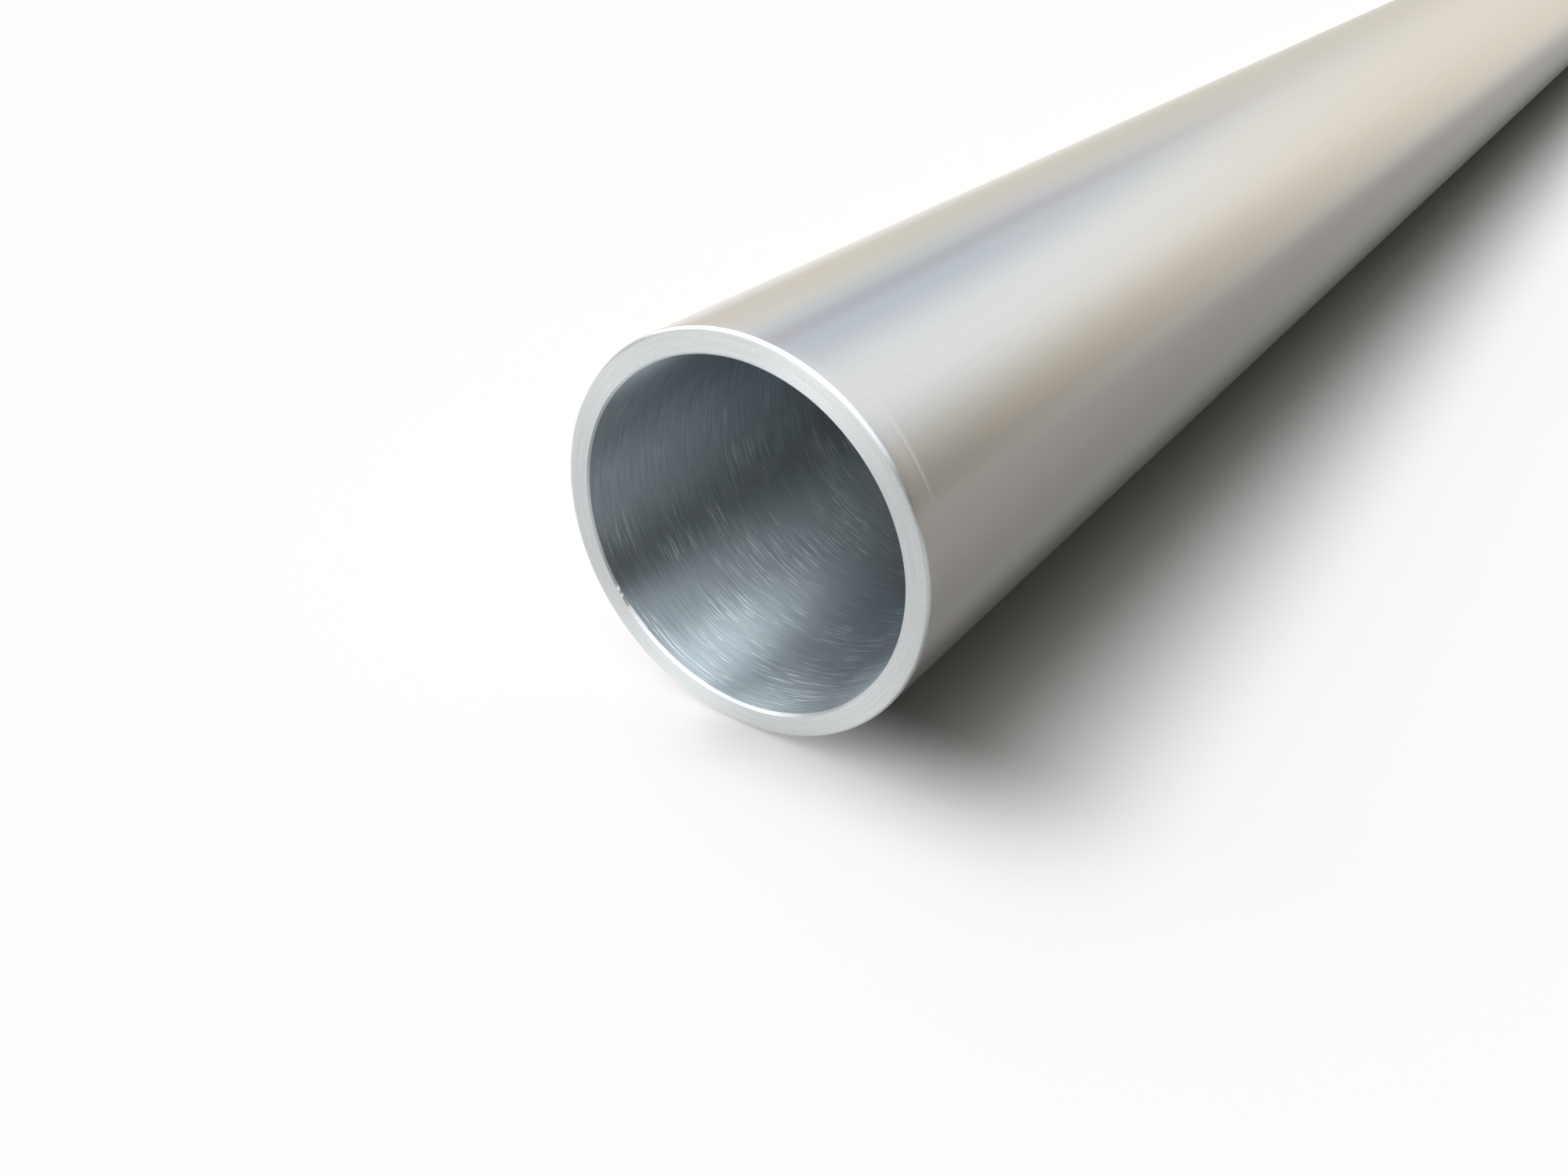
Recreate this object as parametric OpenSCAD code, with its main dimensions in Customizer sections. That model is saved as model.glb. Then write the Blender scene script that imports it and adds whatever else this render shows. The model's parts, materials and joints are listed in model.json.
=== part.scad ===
// Round drawn aluminium tube, cut square at both ends and lying on its side along Y.
// The surface it lies on is z = 0, and the middle of its length is y = 0.

/* [Tube] */
// Outside diameter
outer_d = 50; // [20:0.5:150]
// Wall thickness
wall = 3; // [1.5:0.1:8]
// Cut length
length = 1000; // [100:1:3000]

/* [Cut ends] */
// Radius of the rounded outer edge at each end
edge_r = 0.5; // [0.1:0.05:0.7]
// Leg of the 45 degree bevel at each mouth of the bore
mouth_bevel = 0.3; // [0.1:0.05:0.7]

/* [Hidden] */
$fn = 128;
// Radius of the outer wall
outer_r = outer_d / 2;
// Radius of the bore
bore_r = outer_r - wall;
// Turn about the tube's own axis, in degrees, that puts its lengthwise seam low on the right
seam_turn = 65;
// Bare drawn aluminium
aluminium = [0.80, 0.81, 0.82];

// What rounding takes off the square outer corner of one end: all that lies past the edge's circle.
module outer_edge_waste(end) {
    translate([outer_r, end * length / 2])
        difference() {
            square(2 * edge_r, center = true);
            translate([-edge_r, -end * edge_r])
                circle(edge_r);
        }
}

// What deburring takes off the square inner corner of one end: a diamond that reaches one leg each way.
module mouth_waste(end) {
    translate([bore_r, end * length / 2])
        polygon([[mouth_bevel, 0], [0, mouth_bevel], [-mouth_bevel, 0], [0, -mouth_bevel]]);
}

// The wall cut lengthwise, to the right of the axis, with both corners of each end broken.
module wall_section() {
    difference() {
        translate([bore_r, -length / 2])
            square([wall, length]);
        for (end = [-1, 1]) {
            outer_edge_waste(end);
            mouth_waste(end);
        }
    }
}

// The whole tube: its wall section carried once around the axis, then laid along Y.
module tube() {
    color(aluminium)
        translate([0, 0, outer_r])
            rotate([-90, seam_turn, 0])
                rotate_extrude()
                    wall_section();
}

tube();
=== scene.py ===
"""A round drawn aluminium tube on a pale floor, seen towards its open mouth. Lengths are in metres."""
import json
import math

import bpy
import numpy as np
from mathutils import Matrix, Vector


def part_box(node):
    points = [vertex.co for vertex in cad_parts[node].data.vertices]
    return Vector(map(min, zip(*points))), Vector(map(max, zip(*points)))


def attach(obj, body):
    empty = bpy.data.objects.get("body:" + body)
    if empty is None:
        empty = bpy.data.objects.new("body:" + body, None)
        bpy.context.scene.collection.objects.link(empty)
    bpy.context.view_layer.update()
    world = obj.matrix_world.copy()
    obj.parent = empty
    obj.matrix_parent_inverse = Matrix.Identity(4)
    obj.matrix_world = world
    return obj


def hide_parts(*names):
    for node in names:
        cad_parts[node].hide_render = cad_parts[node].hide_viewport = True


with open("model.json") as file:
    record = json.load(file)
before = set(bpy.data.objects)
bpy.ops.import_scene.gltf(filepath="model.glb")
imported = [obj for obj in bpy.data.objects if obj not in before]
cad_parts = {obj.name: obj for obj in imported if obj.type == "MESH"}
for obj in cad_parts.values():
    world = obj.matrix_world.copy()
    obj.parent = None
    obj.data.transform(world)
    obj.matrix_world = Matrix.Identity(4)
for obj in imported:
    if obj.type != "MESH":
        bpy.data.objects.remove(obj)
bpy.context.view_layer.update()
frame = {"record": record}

# The tube's sizes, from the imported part
MM = 0.001
mounts = {mount["name"]: mount for mount in frame["record"]["mounts"]}
low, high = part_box("tube")
tube_length = high.y - low.y
mouth_y = low.y
outer_radius = mounts["outer_wall"]["dims"]["r_mm"] * MM
bore_radius = mounts["bore"]["dims"]["r_mm"] * MM
edge_round = (tube_length - mounts["outer_wall"]["dims"]["length_mm"] * MM) / 2
mouth_bevel = (tube_length - mounts["bore"]["dims"]["length_mm"] * MM) / 2
axis_height = mounts["bore"]["pos_m"][2]

# How finely the surface is divided
STEPS_AROUND = 480
STEPS_EDGE = 8
STEPS_RING = 6
STEPS_BEVEL = 3
STEPS_LINE = 4
STEPS_ALONG = 40
turn = np.arange(STEPS_AROUND) / STEPS_AROUND * 2 * math.pi
SHARP_ANGLE = math.radians(30)

# Finishes, in the order of the mesh's material slots
DRAWN, CUT, HONED = 0, 1, 2

# Marks of use, as turns about the axis in degrees from the right-hand side
WELL_ROUNDED = (34, 150)
WIDE_BEVEL = (219, 292)
NICK = (215, 217)
TURNED_LINE = (36, 48)
DULL_STREAK = 80
# Turn where the scratches and their painted glints gather, low in the bore where the light falls
MOST_SCRATCHED_AND_GLINTING = 285

# The shown end's breaks as shares of the even ones: least round, plain bevel and what a wide one gains
LEAST_ROUND = 0.72
PLAIN_BEVEL = 0.8
BEVEL_GAIN = 0.35

# The turned line beside the mouth: its place, how far it wanders, its depth, and its steep and gentle sides
LINE_FROM_MOUTH = 0.15 * outer_radius
LINE_WANDER = 0.006 * outer_radius
LINE_DEPTH = 0.035 * MM
LINE_GUARD = 0.06 * MM
LINE_STEEP = 0.25 * MM
LINE_GENTLE = 1.8 * MM

# Distances from the mouth between which the dull streak fades out
DULL_FADE = (0.05, 0.2)

# Colours of the drawn wall: plain, in its warm bands, in its die lines and in its dull streak
DRAWN_COLOUR = (0.77, 0.765, 0.755)
WARM_BAND_COLOUR = (0.7676, 0.7535, 0.7325)
DIE_LINE_COLOUR = (0.72, 0.715, 0.71)
DULL_COLOUR = (0.70, 0.645, 0.655)

# Colours of the cut ends: plain, and in the dark of the rings and speckle
CUT_COLOUR = (0.83, 0.87, 0.89)
CUT_DARK = (0.755, 0.79, 0.81)

# Colours of the bore: its blue-grey tone, set darker than the outer metal as painted shade inside the bore,
# the darker parts of its lay, and the near-white of its scratches, which is a painted glint
HONED_TONE_AND_SHADE = (0.56, 0.64, 0.69)
LAY_DARK = (0.44, 0.51, 0.55)
SCRATCH_GLINT_COLOUR = (0.93, 0.98, 1.0)

# Depth of the relief in each finish: die lines, facing marks and bore scratches
DIE_LINE_RELIEF = 0.006 * MM
FACING_RELIEF = 0.004 * MM
SCRATCH_RELIEF = 0.03 * MM

# The floor: its colour, half its width, and how much of what it shows is its own pale surface
FLOOR_COLOUR = (0.88, 0.85, 0.81)
FLOOR_REACH = 60.0
FLOOR_SHARE = 0.31

# The strip of floor that lets no backdrop through, a painted contact shadow under and right of the tube: its
# fades left, right and past the ends, in tube radii
SHADOW_STRIP_LEFT = (-0.3, 0.1)
SHADOW_STRIP_RIGHT = (0.9, 2.2)
SHADOW_STRIP_PAST_END = (-0.6, 0.5)

# Directions in the room, from the tube
RIGHT = (1, 0, 0)
BACK = (0, 1, 0)
UP = (0, 0, 1)

# Directions that set the backdrop's parts, from the tube
BLUE_SPOT_WAY = (-0.27, 0.82, 0.5)
PANEL_WAY = (-0.57, 0.22, 0.82)
RIGHT_FALL_WAY = (1, 0, -0.25)
DARK_SIDE_WAY = (0.8, -0.3, 0.5)
LEFT_FRONT_WAY = (-0.75, -0.6, 0.28)
UNDER_FALL_WAY = (1, 0, 0.34)
PALE_PATCH_WAY = (0.78, -0.6, -0.17)

# The way around the tube on its unrolled surface
AROUND = (0, 1, 0)

# The backdrop: how much of its light falls on dull surfaces, and its colours
FLOOR_LIGHT = 0.15
WARM_LIGHT = (1.0, 0.93, 0.81)
COOL_LIGHT = (0.965, 1.0, 1.03)
BLUE_LIGHT = (0.90, 1.0, 1.10)
WHITE_LIGHT = (1, 1, 1)

# Soft lamps: name, direction from the tube, strength and width in degrees
LAMPS = [
    ("key", (-0.72, 0.12, 0.68), 1.8, 50),
    ("front", (0.04, -0.44, 0.9), 0.85, 32),
    ("overhead", (0.02, -0.44, 0.9), 1.3, 105),
]

# The camera: its place from the shown mouth in tube radii, its angles in degrees and its lens in mm
STAND_OFF = (3.165, -4.171, 2.906)
AZIMUTH = 34.78
ELEVATION = 30.96
LENS = 30.453
SENSOR_WIDTH = 36
NEAREST_SEEN = 0.01


def window(first, last, fade):
    """A value for each step around: 1 between two turns in degrees, falling smoothly to 0 over a fade."""
    middle = (first + last) / 2
    from_middle = np.abs((np.degrees(turn) - middle + 180) % 360 - 180)
    away = from_middle - (last - first) / 2
    share = np.clip(1 - away / fade, 0, 1)
    return share * share * (3 - 2 * share)


def wander(*waves):
    """A gentle variation around the tube: the sum of some sines, each a count, a size and a start."""
    return sum(size * np.sin(count * turn + start) for count, size, start in waves)


def stretch(start, stop, steps):
    """Straight piece of the profile from one (radius, along) to another, without its last point."""
    share = (np.arange(steps) / steps)[:, None]
    radius = (1 - share) * start[0] + share * stop[0] + 0 * turn
    along = (1 - share) * start[1] + share * stop[1] + 0 * turn
    return np.stack([radius, along], axis=-1)


def rounded_edge(end, size):
    """Quarter circle of a size from the outer wall to the cut face of one end (-1 shown, 1 far)."""
    bend = (np.arange(STEPS_EDGE + 1) / STEPS_EDGE * math.pi / 2)[:, None]
    radius = outer_radius - size + size * np.cos(bend)
    along = end * (tube_length / 2 - size + size * np.sin(bend))
    return np.stack([radius, along], axis=-1)


def worn_edge():
    """Size of the shown end's rounded edge at each step: full where well rounded, and less elsewhere."""
    share = LEAST_ROUND + (1 - LEAST_ROUND) * window(*WELL_ROUNDED, fade=6)
    return edge_round * (share + wander((3, 0.03, 0.4), (8, 0.02, 2.0)))


def worn_bevel():
    """Leg of the shown mouth's bevel at each step: wide low down, with a ragged narrow place at the nick."""
    share = PLAIN_BEVEL + BEVEL_GAIN * window(*WIDE_BEVEL, fade=12)
    leg = mouth_bevel * (share + wander((5, 0.05, 1.0), (13, 0.04, 0.3)))
    ragged = 0.35 + wander((150, 0.15, 0.0))
    return leg * (1 - window(*NICK, fade=3) * ragged)


def outer_wall(shown_edge):
    """Profile of the outer wall from the shown end to the far one, lowered at the turned line."""
    half = tube_length / 2
    line = LINE_FROM_MOUTH + wander((6, LINE_WANDER, 1.1)) - half
    depth = LINE_DEPTH * window(*TURNED_LINE, fade=16)
    corners = [
        (outer_radius, shown_edge - half),
        (outer_radius, line - LINE_GUARD),
        (outer_radius, line),
        (outer_radius - depth, line + LINE_STEEP),
        (outer_radius, line + LINE_STEEP + LINE_GENTLE),
        (outer_radius, half - edge_round),
    ]
    counts = [2, 1, STEPS_LINE, STEPS_LINE, STEPS_ALONG]
    return np.vstack([stretch(*ends) for ends in zip(corners, corners[1:], counts)])


def wall_profile():
    """The wall's closed outline as (radius, along) at each step around, and the finish after each row.

    It runs along the outer wall, in across the far end, back through the bore and out across the shown end.
    """
    half = tube_length / 2
    far_edge = np.full(STEPS_AROUND, edge_round)
    far_face = (outer_radius - edge_round, half)
    far_mouth = (bore_radius + mouth_bevel, half)
    far_bore = (bore_radius, half - mouth_bevel)
    edge = worn_edge()
    leg = worn_bevel()
    bore = (bore_radius, leg - half)
    mouth = (bore_radius + leg, -half)
    face = (outer_radius - edge, -half)
    pieces = [
        (outer_wall(edge), DRAWN),
        (rounded_edge(1, far_edge)[:-1], CUT),
        (stretch(far_face, far_mouth, STEPS_RING), CUT),
        (stretch(far_mouth, far_bore, STEPS_BEVEL), CUT),
        (stretch(far_bore, bore, STEPS_ALONG), HONED),
        (stretch(bore, mouth, STEPS_BEVEL), CUT),
        (stretch(mouth, face, STEPS_RING), CUT),
        (np.flip(rounded_edge(-1, edge), axis=0)[:-1], CUT),
    ]
    rows = np.vstack([points for points, _ in pieces])
    finish = np.concatenate([np.full(len(points), kind) for points, kind in pieces])
    return rows, finish


def revolved(rows):
    """Points of the profile around the axis, a being the turn: (r cos a, along, axis height + r sin a)."""
    radius, along = rows[..., 0], rows[..., 1]
    return np.stack([radius * np.cos(turn), along, axis_height + radius * np.sin(turn)], axis=-1)


def grid_faces(count_rows):
    """Quads of a grid that closes on itself both ways, facing out of the material."""
    i, j = np.meshgrid(np.arange(count_rows), np.arange(STEPS_AROUND), indexing="ij")
    here, after = i * STEPS_AROUND, (i + 1) % count_rows * STEPS_AROUND
    next_j = (j + 1) % STEPS_AROUND
    return np.stack([here + j, after + j, after + next_j, here + next_j], axis=-1).reshape(-1, 4)


def surface_map(rows):
    """Corner coordinates of each quad: distance along the mean profile, then around the outer wall."""
    mean = rows.mean(axis=1)
    closed = np.vstack([mean, mean[:1]])
    lengths = np.linalg.norm(np.diff(closed, axis=0), axis=1)
    travelled = np.concatenate([[0], np.cumsum(lengths)])
    around = np.append(turn, 2 * math.pi) * outer_radius
    i, j = np.meshgrid(np.arange(len(rows)), np.arange(STEPS_AROUND), indexing="ij")
    u = np.stack([travelled[i], travelled[i + 1], travelled[i + 1], travelled[i]], axis=-1)
    v = np.stack([around[j], around[j], around[j + 1], around[j + 1]], axis=-1)
    return np.stack([u, v], axis=-1).reshape(-1)


def build_tube(finishes):
    """One closed surface for the whole tube, with the finish of each band as its material."""
    rows, kinds = wall_profile()
    mesh = bpy.data.meshes.new("drawn_tube")
    mesh.from_pydata(revolved(rows).reshape(-1, 3), [], grid_faces(len(rows)).tolist())
    for finish in finishes:
        mesh.materials.append(finish)
    mesh.polygons.foreach_set("material_index", np.repeat(kinds, STEPS_AROUND).astype(np.int32))
    mesh.uv_layers.new(name="wrap").data.foreach_set("uv", surface_map(rows).astype(np.float32))
    mesh.shade_smooth()
    mesh.set_sharp_from_angle(angle=SHARP_ANGLE)
    tube = bpy.data.objects.new("drawn_tube", mesh)
    bpy.context.scene.collection.objects.link(tube)
    return tube


def add(tree, kind, **settings):
    """A new node, with its plain settings filled in."""
    made = tree.nodes.new(kind)
    for name, value in settings.items():
        setattr(made, name, value)
    return made


def ramp(tree, value, start, stop, first, last, kind="SMOOTHSTEP"):
    """A step of a value from first at start to last at stop, smooth or straight."""
    step = add(tree, "ShaderNodeMapRange", interpolation_type=kind)
    step.inputs["From Min"].default_value = start
    step.inputs["From Max"].default_value = stop
    step.inputs["To Min"].default_value = first
    step.inputs["To Max"].default_value = last
    tree.links.new(value, step.inputs["Value"])
    return step.outputs["Result"]


def calc(tree, operation, a, b=0.0):
    """One arithmetic step on two outputs, or on an output and a number."""
    step = add(tree, "ShaderNodeMath", operation=operation)
    for socket, value in zip(step.inputs, (a, b)):
        if isinstance(value, (int, float)):
            socket.default_value = value
        else:
            tree.links.new(value, socket)
    return step.outputs["Value"]


def product(tree, result, *others):
    """Some outputs multiplied together."""
    for other in others:
        result = calc(tree, "MULTIPLY", result, other)
    return result


def blend(tree, share, first, second):
    """A mix of two colours by a share: each is an output or three numbers."""
    mix = add(tree, "ShaderNodeMix", data_type="RGBA")
    tree.links.new(share, mix.inputs["Factor"])
    for socket, value in ((mix.inputs["A"], first), (mix.inputs["B"], second)):
        if isinstance(value, tuple):
            socket.default_value = (*value, 1)
        else:
            tree.links.new(value, socket)
    return mix.outputs["Result"]


def lean(tree, way, direction):
    """How far a way leans towards a direction: their dot product."""
    dot = add(tree, "ShaderNodeVectorMath", operation="DOT_PRODUCT")
    dot.inputs[1].default_value = direction
    tree.links.new(way, dot.inputs[0])
    return dot.outputs["Value"]


def own_place(tree):
    """Where a point lies in its own object's space."""
    return add(tree, "ShaderNodeTexCoord").outputs["Object"]


def unrolled_place(tree):
    """Where a point lies on the tube's unrolled surface."""
    return add(tree, "ShaderNodeUVMap", uv_map="wrap").outputs["UV"]


def turn_away(tree, middle, wobble=0.0):
    """How many degrees about the axis a point lies from a middle turn, after a wobble is added."""
    distance = lean(tree, unrolled_place(tree), AROUND)
    degrees = calc(tree, "MULTIPLY", distance, math.degrees(1 / outer_radius))
    turned = calc(tree, "ADD", degrees, wobble)
    return calc(tree, "ABSOLUTE", calc(tree, "SUBTRACT", turned, middle))


def noise(tree, place, scale, slant, detail, dimensions):
    """Noise at a place that is first turned by a slant and then stretched by a scale."""
    turned = add(tree, "ShaderNodeMapping")
    turned.inputs["Rotation"].default_value = (0, 0, math.radians(slant))
    tree.links.new(place, turned.inputs["Vector"])
    stretched = add(tree, "ShaderNodeMapping")
    stretched.inputs["Scale"].default_value = scale
    tree.links.new(turned.outputs["Vector"], stretched.inputs["Vector"])
    pattern = add(tree, "ShaderNodeTexNoise", noise_dimensions=dimensions)
    pattern.inputs["Scale"].default_value = 1
    pattern.inputs["Detail"].default_value = detail
    tree.links.new(stretched.outputs["Vector"], pattern.inputs["Vector"])
    return pattern.outputs["Fac"]


def streaks(tree, scale, detail=2.0):
    """Noise in the tube's own space, stretched by a different amount along each axis."""
    return noise(tree, own_place(tree), scale, 0.0, detail, "3D")


def scratches(tree, along, around, slant, detail=2.0):
    """Noise on the unrolled surface, stretched around the tube, with a slant in degrees."""
    return noise(tree, unrolled_place(tree), (along, around, 1), slant, detail, "2D")


def metal(name, colour, roughness, anisotropy, lay_turn):
    """A metal with a brushed lay, rougher across it than along it, and turned by a share of a circle."""
    material = bpy.data.materials.new(name)
    material.use_nodes = True
    tree = material.node_tree
    shader = tree.nodes["Principled BSDF"]
    shader.inputs["Base Color"].default_value = (*colour, 1)
    shader.inputs["Metallic"].default_value = 1
    shader.inputs["Roughness"].default_value = roughness
    shader.inputs["Anisotropic"].default_value = anisotropy
    shader.inputs["Anisotropic Rotation"].default_value = lay_turn
    tangent = add(tree, "ShaderNodeTangent", direction_type="UV_MAP", uv_map="wrap")
    tree.links.new(tangent.outputs["Tangent"], shader.inputs["Tangent"])
    return material, tree, shader


def bump(tree, shader, height, distance):
    """Fine relief from a height between 0 and 1."""
    relief = add(tree, "ShaderNodeBump")
    relief.inputs["Strength"].default_value = 1
    relief.inputs["Distance"].default_value = distance
    tree.links.new(height, relief.inputs["Height"])
    tree.links.new(relief.outputs["Normal"], shader.inputs["Normal"])


def dull_streak(tree):
    """Share of the dull streak: most at its own turn, wavering a little, and fading out along the tube."""
    wobble = ramp(tree, streaks(tree, scale=(0, 14, 0)), 0.3, 0.7, -0.8, 0.8)
    across = ramp(tree, turn_away(tree, DULL_STREAK, wobble), 0.3, 5.0, 0.9, 0.0)
    fade_start, fade_stop = DULL_FADE
    along = lean(tree, own_place(tree), BACK)
    near_mouth = ramp(tree, along, mouth_y + fade_start, mouth_y + fade_stop, 1.0, 0.0)
    return product(tree, across, near_mouth)


def drawn_wall():
    """Drawn surface: die lines along the tube, faint warm bands, and a dull streak near the top."""
    material, tree, shader = metal("drawn_wall", DRAWN_COLOUR, roughness=0.24, anisotropy=0.3, lay_turn=0.25)
    lines = streaks(tree, scale=(2200, 9, 2200), detail=3)
    bands = ramp(tree, streaks(tree, scale=(160, 3, 160), detail=1), 0.35, 0.65, 0.0, 1.0)
    colour = blend(tree, bands, WARM_BAND_COLOUR, DRAWN_COLOUR)
    colour = blend(tree, ramp(tree, lines, 0.3, 0.7, 0.0, 0.3), colour, DIE_LINE_COLOUR)
    colour = blend(tree, dull_streak(tree), colour, DULL_COLOUR)
    tree.links.new(colour, shader.inputs["Base Color"])
    bump(tree, shader, lines, DIE_LINE_RELIEF)
    return material


def cut_end():
    """Faced ends: fine rings about the axis and a light speckle."""
    material, tree, shader = metal("cut_end", CUT_COLOUR, roughness=0.43, anisotropy=0.85, lay_turn=0.0)
    rings = scratches(tree, along=6000, around=90, slant=0, detail=3)
    speckle = streaks(tree, scale=(3500, 3500, 3500))
    marks = calc(tree, "MULTIPLY", calc(tree, "ADD", rings, speckle), 0.5)
    colour = blend(tree, ramp(tree, marks, 0.36, 0.62, 0.0, 1.0), CUT_DARK, CUT_COLOUR)
    tree.links.new(colour, shader.inputs["Base Color"])
    bump(tree, shader, marks, FACING_RELIEF)
    return material


def scratches_and_painted_glints(tree):
    """Share of the scratches with painted glints: short and long ones in loose patches, fewer away from the
    bottom, so that they gather low in the bore where the light falls.
    """
    short = ramp(tree, scratches(tree, along=5200, around=150, slant=-2.0, detail=1), 0.63, 0.69, 0.0, 1.0)
    long = ramp(tree, scratches(tree, along=4400, around=50, slant=2.4, detail=1), 0.68, 0.73, 0.0, 1.0)
    patches = ramp(tree, scratches(tree, along=110, around=90, slant=0), 0.4, 0.6, 0.1, 1.0)
    # Painted glints: fewer scratches up the dark side of the bore, so that they gather where the light
    # falls.
    low_down = ramp(tree, turn_away(tree, MOST_SCRATCHED_AND_GLINTING), 60, 120, 1.0, 0.3)
    return product(tree, calc(tree, "MAXIMUM", short, long), patches, low_down)


def honed_bore():
    """Bore in a blue-grey darkened as painted shade, with a dense fine lay around it, and scratches cut into
    that whose near-white colour is a painted glint.
    """
    material, tree, shader = metal("honed_bore", HONED_TONE_AND_SHADE, roughness=0.52, anisotropy=0.96, lay_turn=0.0)
    lay = scratches(tree, along=6000, around=130, slant=0.5, detail=3)
    glinting = scratches_and_painted_glints(tree)
    colour = blend(tree, ramp(tree, lay, 0.3, 0.7, 0.0, 1.0), LAY_DARK, HONED_TONE_AND_SHADE)
    # Painted glint: the scratches take a near-white colour.
    colour = blend(tree, glinting, colour, SCRATCH_GLINT_COLOUR)
    tree.links.new(colour, shader.inputs["Base Color"])
    height = calc(tree, "SUBTRACT", calc(tree, "MULTIPLY", lay, 0.2), glinting)
    bump(tree, shader, height, SCRATCH_RELIEF)
    return material


def radius_ramp(tree, value, limits, first, last):
    """A smooth step of a length from first to last between two limits in tube radii."""
    start, stop = limits
    return ramp(tree, value, start * outer_radius, stop * outer_radius, first, last)


def painted_shadow_strip(tree):
    """Share of the painted shadow strip: 1 on the floor under the tube and to its right, fading out all
    round. There the floor is darkened as a painted contact shadow.
    """
    place = own_place(tree)
    across = lean(tree, place, RIGHT)
    along = calc(tree, "ABSOLUTE", lean(tree, place, BACK))
    past_end = calc(tree, "SUBTRACT", along, tube_length / 2)
    left_side = radius_ramp(tree, across, SHADOW_STRIP_LEFT, 0.0, 1.0)
    right_side = radius_ramp(tree, across, SHADOW_STRIP_RIGHT, 1.0, 0.0)
    ends = radius_ramp(tree, past_end, SHADOW_STRIP_PAST_END, 1.0, 0.0)
    return product(tree, left_side, right_side, ends)


def pale_floor():
    """A thin pale surface that the backdrop shows through, except in the strip beside the tube, where it
    turns dark as a painted contact shadow.
    """
    material = bpy.data.materials.new("pale_floor")
    material.use_nodes = True
    tree = material.node_tree
    shader = tree.nodes["Principled BSDF"]
    shader.inputs["Base Color"].default_value = (*FLOOR_COLOUR, 1)
    shader.inputs["Roughness"].default_value = 0.9
    shader.inputs["Specular IOR Level"].default_value = 0.0
    clear = add(tree, "ShaderNodeBsdfTransparent")
    # Painted shadow: in the strip the backdrop is blocked, so the floor there goes dark.
    through_outside_painted_shadow = ramp(tree, painted_shadow_strip(tree), 0, 1, 1.0, 0.0, "LINEAR")
    tree.links.new(through_outside_painted_shadow, clear.inputs["Color"])
    mixed = add(tree, "ShaderNodeMixShader")
    mixed.inputs["Fac"].default_value = FLOOR_SHARE
    tree.links.new(clear.outputs["BSDF"], mixed.inputs[1])
    tree.links.new(shader.outputs["BSDF"], mixed.inputs[2])
    tree.links.new(mixed.outputs["Shader"], tree.nodes["Material Output"].inputs["Surface"])
    return material


def build_floor():
    """A flat square floor at height 0 that carries the tube's shadow, deepened beside the tube by a painted
    contact shadow.
    """
    corners = FLOOR_REACH * np.array([(-1, -1, 0), (1, -1, 0), (1, 1, 0), (-1, 1, 0)])
    mesh = bpy.data.meshes.new("floor")
    mesh.from_pydata(corners, [], [(0, 1, 2, 3)])
    mesh.materials.append(pale_floor())
    floor = bpy.data.objects.new("floor", mesh)
    bpy.context.scene.collection.objects.link(floor)
    return floor


def soft_lamp(name, towards, energy, width):
    """A wide even lamp, far away in the direction that the tube sees it."""
    lamp = bpy.data.lights.new(name, "SUN")
    lamp.energy = energy
    lamp.angle = math.radians(width)
    placed = bpy.data.objects.new(name, lamp)
    placed.rotation_euler = (-Vector(towards)).to_track_quat("-Z", "Y").to_euler()
    bpy.context.scene.collection.objects.link(placed)


def white_panel(tree, way, height):
    """Light of a white panel high on the left, which ends softly at the right, behind and low down."""
    on_left = ramp(tree, lean(tree, way, PANEL_WAY), -0.08, -0.03, 0.0, 1.0)
    in_front = ramp(tree, lean(tree, way, BACK), 0.15, 0.4, 1.0, 0.0)
    raised = ramp(tree, height, 0.27, 0.37, 0.0, 1.0)
    return product(tree, on_left, in_front, raised)


def upper_backdrop(tree, way, height, blue_spot):
    """Light over the horizon: near white, dimmer on the right, at the left front and in the blue spot."""
    right = ramp(tree, lean(tree, way, RIGHT_FALL_WAY), 0.18, 0.58, 1.0, 0.35, "LINEAR")
    left = ramp(tree, lean(tree, way, RIGHT), -0.3, 0.1, 0.82, 0.98)
    low_down = ramp(tree, height, 0.1, 0.36, 0.86, 1.0)
    spot = ramp(tree, blue_spot, 0, 1, 1.0, 0.76, "LINEAR")
    dark_side = ramp(tree, lean(tree, way, DARK_SIDE_WAY), 0.45, 0.8, 0.0, 0.95)
    high_up = ramp(tree, height, 0.1, 0.3, 0.0, 1.0)
    high_right = calc(tree, "SUBTRACT", 1.0, product(tree, dark_side, high_up))
    level = product(tree, right, left, low_down, spot, high_right)
    level = calc(tree, "MAXIMUM", level, white_panel(tree, way, height))
    left_front = ramp(tree, lean(tree, way, LEFT_FRONT_WAY), 0.65, 0.95, 1.0, 0.45)
    return product(tree, level, left_front)


def lower_backdrop(tree, way):
    """Light under the horizon: white left and behind, dark elsewhere, pale in a patch at the right front."""
    front = ramp(tree, lean(tree, way, BACK), -0.5, 0.4, 0.45, 0.0)
    right_and_front = calc(tree, "ADD", lean(tree, way, UNDER_FALL_WAY), front)
    level = ramp(tree, right_and_front, -0.14, 0.22, 1.0, 0.06)
    pale_patch = ramp(tree, lean(tree, way, PALE_PATCH_WAY), 0.76, 0.98, 0.0, 0.65)
    return calc(tree, "MAXIMUM", level, pale_patch)


def backdrop_tint(tree, height, over, blue_spot):
    """Colour of the backdrop: white under the horizon, warm low over it, cool high up, blue in the spot."""
    high_up = ramp(tree, height, 0.2, 0.5, 0.0, 1.0)
    tint = blend(tree, high_up, WARM_LIGHT, COOL_LIGHT)
    tint = blend(tree, blue_spot, tint, BLUE_LIGHT)
    return blend(tree, over, WHITE_LIGHT, tint)


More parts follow.
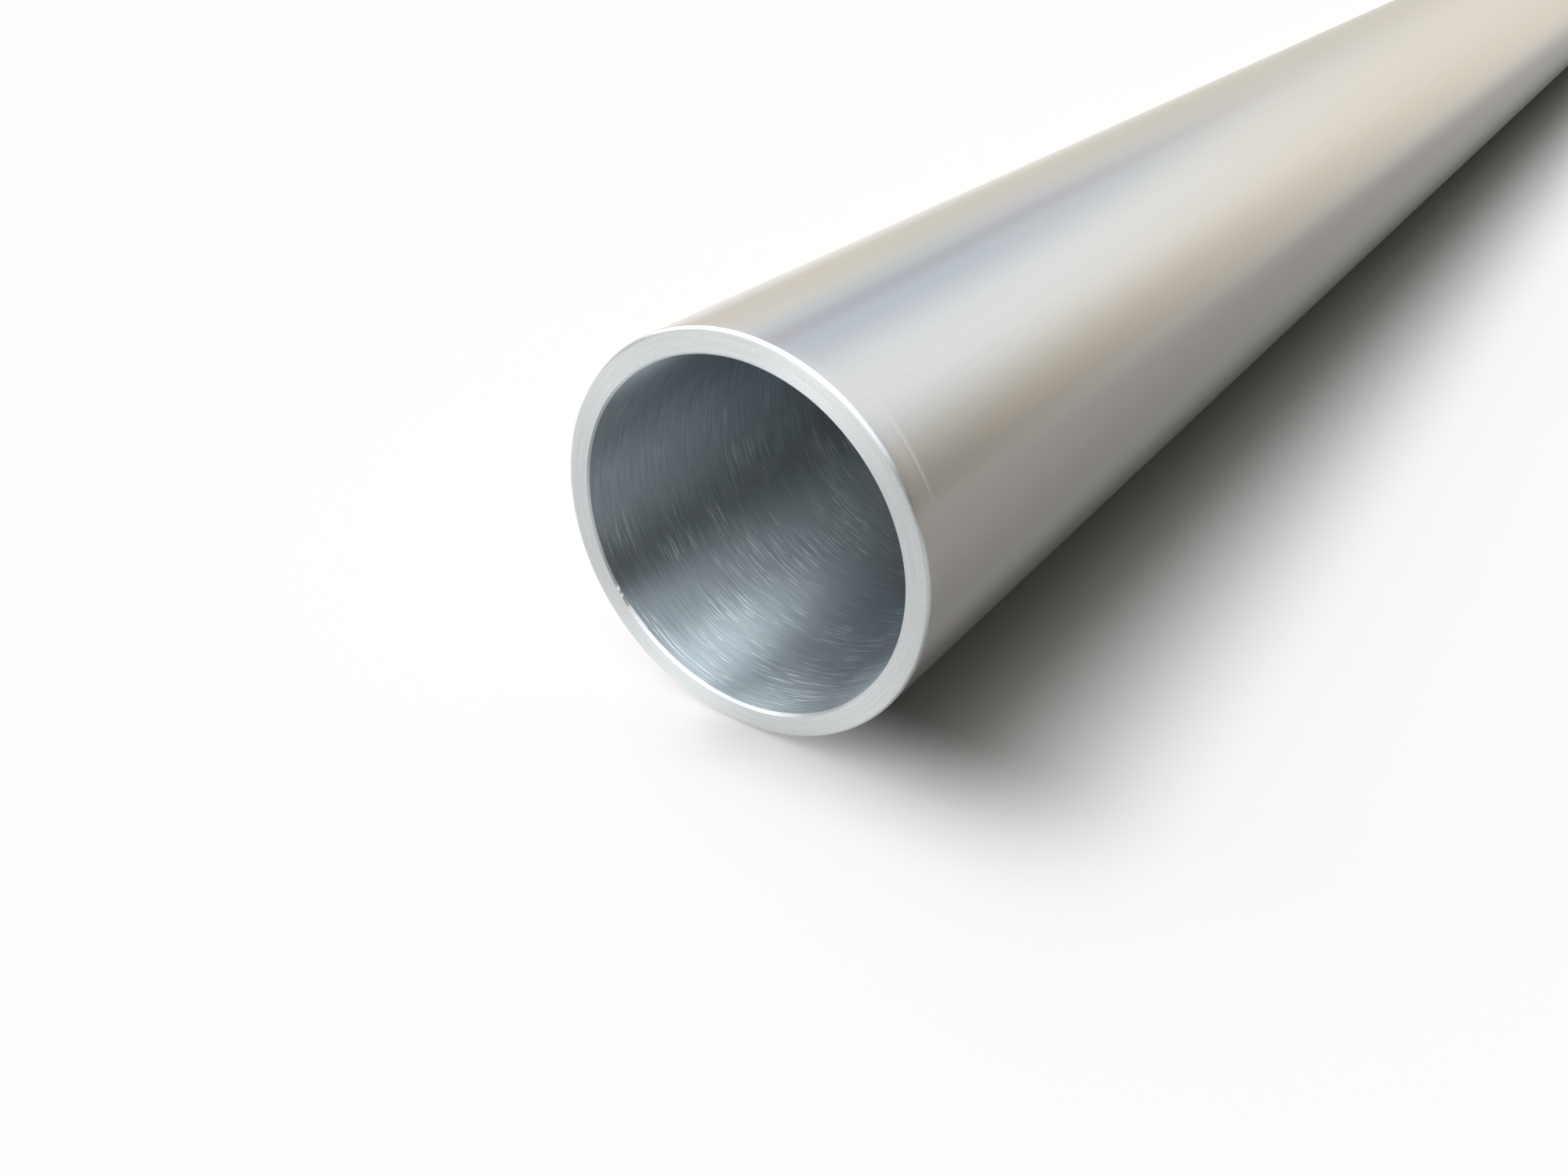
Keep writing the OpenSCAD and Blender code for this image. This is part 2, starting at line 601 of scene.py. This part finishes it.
def share_by_use(tree):
    """How much of the backdrop a ray takes: all where seen or mirrored, little where it only lights."""
    path = add(tree, "ShaderNodeLightPath")
    seen = calc(tree, "MAXIMUM", path.outputs["Is Camera Ray"], path.outputs["Is Glossy Ray"])
    seen = calc(tree, "MAXIMUM", seen, path.outputs["Is Transmission Ray"])
    return ramp(tree, seen, 0, 1, FLOOR_LIGHT, 1.0, "LINEAR")


def light_room():
    """A backdrop graded from white behind and on the left to dark on the right, and the soft lamps."""
    world = bpy.data.worlds.new("room")
    bpy.context.scene.world = world
    world.use_nodes = True
    tree = world.node_tree
    background = tree.nodes["Background"]
    way = add(tree, "ShaderNodeTexCoord").outputs["Generated"]
    height = lean(tree, way, UP)
    over = ramp(tree, height, -0.1, 0.02, 0.0, 1.0)
    under = calc(tree, "SUBTRACT", 1.0, over)
    blue_spot = ramp(tree, lean(tree, way, BLUE_SPOT_WAY), 0.95, 1.0, 0.0, 1.0)
    upper = product(tree, upper_backdrop(tree, way, height, blue_spot), over)
    lower = product(tree, lower_backdrop(tree, way), under)
    level = product(tree, calc(tree, "ADD", upper, lower), share_by_use(tree))
    tree.links.new(backdrop_tint(tree, height, over, blue_spot), background.inputs["Color"])
    tree.links.new(level, background.inputs["Strength"])
    for lamp in LAMPS:
        soft_lamp(*lamp)


def place_camera():
    """The camera stands off the shown mouth by some tube radii and looks along its azimuth and elevation."""
    data = bpy.data.cameras.new("camera")
    data.sensor_width = SENSOR_WIDTH
    data.lens = LENS
    data.clip_start = NEAREST_SEEN
    camera = bpy.data.objects.new("camera", data)
    camera.location = Vector((0, mouth_y, axis_height)) + Vector(STAND_OFF) * outer_radius
    camera.rotation_euler = (math.pi / 2 - math.radians(ELEVATION), 0, math.radians(AZIMUTH))
    bpy.context.scene.collection.objects.link(camera)
    bpy.context.scene.camera = camera


tube = build_tube([drawn_wall(), cut_end(), honed_bore()])
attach(tube, "root")
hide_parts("tube")
build_floor()
light_room()
place_camera()
bpy.context.scene.view_settings.view_transform = "Standard"
